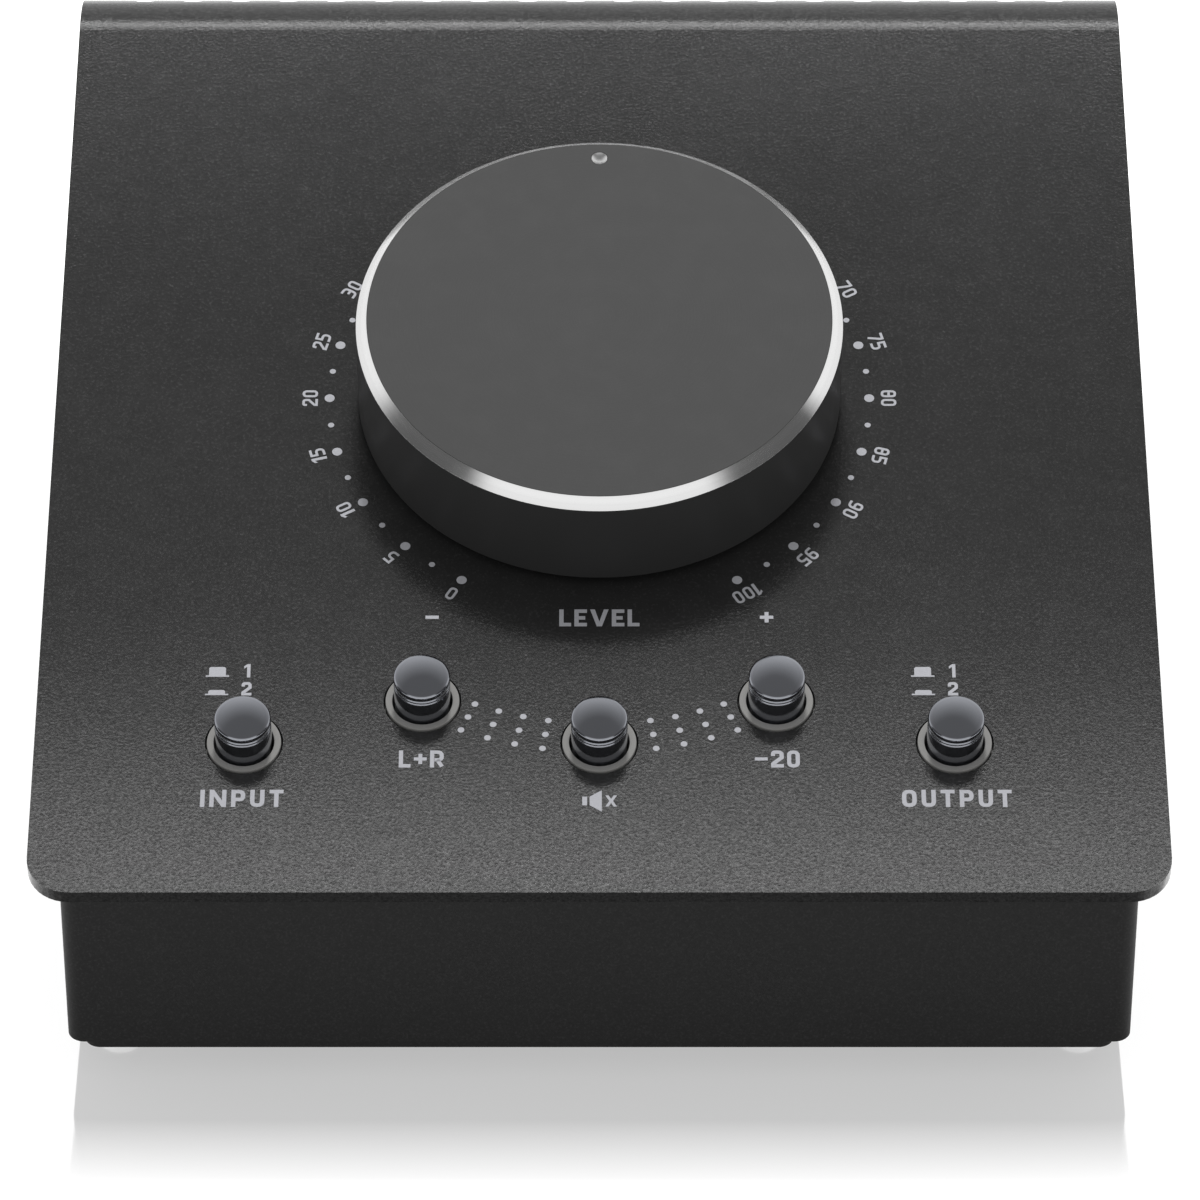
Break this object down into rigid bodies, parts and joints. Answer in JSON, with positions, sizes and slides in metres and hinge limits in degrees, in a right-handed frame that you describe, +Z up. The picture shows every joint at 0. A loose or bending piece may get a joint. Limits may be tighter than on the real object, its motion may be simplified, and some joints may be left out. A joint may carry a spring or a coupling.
{
  "type": "studio monitor controller",
  "caption": "Desktop monitor controller: sloped sheet-metal top over a dark body, large bevelled volume knob, round push buttons, vents over the rear bend and jack sockets behind.",
  "frame": {"origin": "on the floor, in the middle of the footprint", "axes": "+X to the user's right, +Y to the back, +Z up"},
  "size_m": [0.14, 0.1596, 0.0753],
  "materials": {
    "cover_paint": "fine powder-coat texture, satin",
    "body_paint": "satin black paint",
    "rubber": "matt",
    "steel": "plated",
    "nickel": "nickel plated",
    "collar_plastic": "moulded, matt",
    "board": "solder mask",
    "black_plastic": "moulded",
    "track_plastic": "phenolic",
    "resistor_body": "lacquered",
    "ribbon": "pvc",
    "knob_black": "black anodised, satin",
    "knob_edge": "diamond-turned bevel",
    "knob_face": "matt",
    "pointer_metal": "satin",
    "brass": "turned",
    "switch_plastic": "moulded",
    "cap_gloss": "dark metallised gloss",
    "spring_steel": "wire"
  },
  "bodies": {
    "case": {"base_plate": "body_paint", "base_screws": "steel", "board_pins": "nickel", "board_screws": "steel", "board_spacers": "steel", "body_shell": "body_paint", "button_collars": "collar_plastic", "cover_nuts": "steel", "cover_studs": "steel", "dim_resistors": "resistor_body", "dim_spring": "spring_steel", "dim_switch": "switch_plastic", "jack_monitor_a_left": "black_plastic", "jack_monitor_a_right": "black_plastic", "jack_monitor_b_left": "black_plastic", "jack_monitor_b_right": "black_plastic", "jack_nuts": "nickel", "jack_pins": "nickel", "jack_source_a_left": "black_plastic", "jack_source_a_right": "black_plastic", "jack_source_b_left": "black_plastic", "jack_source_b_right": "black_plastic", "main_board": "board", "main_plug": "black_plastic", "monitor_spring": "spring_steel", "monitor_switch": "switch_plastic", "mono_spring": "spring_steel", "mono_switch": "switch_plastic", "mute_spring": "spring_steel", "mute_switch": "switch_plastic", "pot_bushing": "nickel", "pot_housing": "steel", "pot_nut": "steel", "pot_track": "track_plastic", "pot_washer": "steel", "rear_board": "board", "rear_plug": "black_plastic", "rear_screws": "steel", "ribbon_cable": "ribbon", "rubber_feet": "rubber", "source_spring": "spring_steel", "source_switch": "switch_plastic", "top_cover": "cover_paint"},
    "knob": {"knob_shell": "knob_black", "knob_hub": "brass", "knob_ring": "knob_edge", "knob_disc": "knob_face", "knob_pointer": "pointer_metal", "pot_shaft": "steel", "pot_rotor": "track_plastic"},
    "source_button": {"source_cap": "cap_gloss", "source_plunger": "switch_plastic"},
    "mono_button": {"mono_cap": "cap_gloss", "mono_plunger": "switch_plastic"},
    "mute_button": {"mute_cap": "cap_gloss", "mute_plunger": "switch_plastic"},
    "dim_button": {"dim_cap": "cap_gloss", "dim_plunger": "switch_plastic"},
    "monitor_button": {"monitor_cap": "cap_gloss", "monitor_plunger": "switch_plastic"}
  },
  "joints": [
    {"name": "knob_turn", "type": "hinge", "parent": "case", "child": "knob", "pos_m": [0, -0.00296, 0.05296], "axis": [0, -0.23, 0.9732], "range_deg": [-150, 150]},
    {"name": "source_press", "type": "slide", "parent": "case", "child": "source_button", "axis": [0, 0.23, -0.9732], "range_m": [0, 0.0025], "stiffness_N_per_m": 300, "springref_m": -0.002, "deforming": ["source_spring"]},
    {"name": "mono_press", "type": "slide", "parent": "case", "child": "mono_button", "axis": [0, 0.23, -0.9732], "range_m": [0, 0.0025], "stiffness_N_per_m": 300, "springref_m": -0.002, "deforming": ["mono_spring"]},
    {"name": "mute_press", "type": "slide", "parent": "case", "child": "mute_button", "axis": [0, 0.23, -0.9732], "range_m": [0, 0.0025], "stiffness_N_per_m": 300, "springref_m": -0.002, "deforming": ["mute_spring"]},
    {"name": "dim_press", "type": "slide", "parent": "case", "child": "dim_button", "axis": [0, 0.23, -0.9732], "range_m": [0, 0.0025], "stiffness_N_per_m": 300, "springref_m": -0.002, "deforming": ["dim_spring"]},
    {"name": "monitor_press", "type": "slide", "parent": "case", "child": "monitor_button", "axis": [0, 0.23, -0.9732], "range_m": [0, 0.0025], "stiffness_N_per_m": 300, "springref_m": -0.002, "deforming": ["monitor_spring"]}
  ]
}
